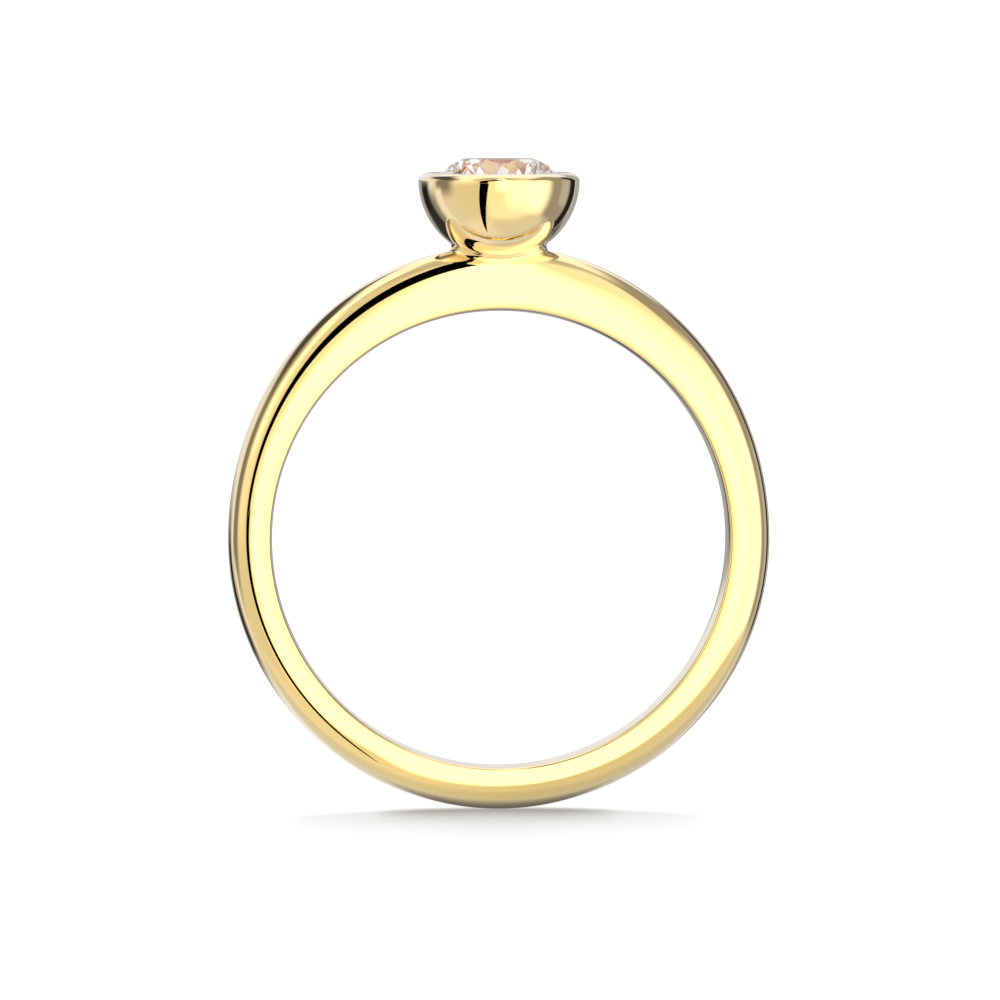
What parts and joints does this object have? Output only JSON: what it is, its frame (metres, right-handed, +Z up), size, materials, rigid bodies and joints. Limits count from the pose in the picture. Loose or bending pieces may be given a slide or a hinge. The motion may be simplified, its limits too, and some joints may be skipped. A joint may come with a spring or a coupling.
{
  "type": "bezel set ring",
  "caption": "Gold finger ring whose crowned band thickens towards a bowl-shaped closed bezel, set with a round brilliant cut clear stone, lying on its side as it rests.",
  "frame": {"origin": "under the middle of the ring's box, on the surface that the ring lies on", "axes": "+Z up; +Y from the far side of the band towards the bezel and its stone; +X across the ring. The finger's axis leans 5.1 degrees from +Z towards -Y, because the ring rests on the bezel's widest point and on the far side of the band"},
  "size_m": [0.0206, 0.0246, 0.0061],
  "materials": {
    "gold": "polished 18 carat yellow gold",
    "clear_stone": "polished facets, colourless"
  },
  "bodies": {
    "root": {"band_and_bezel": "gold", "stone": "clear_stone"}
  },
  "joints": []
}
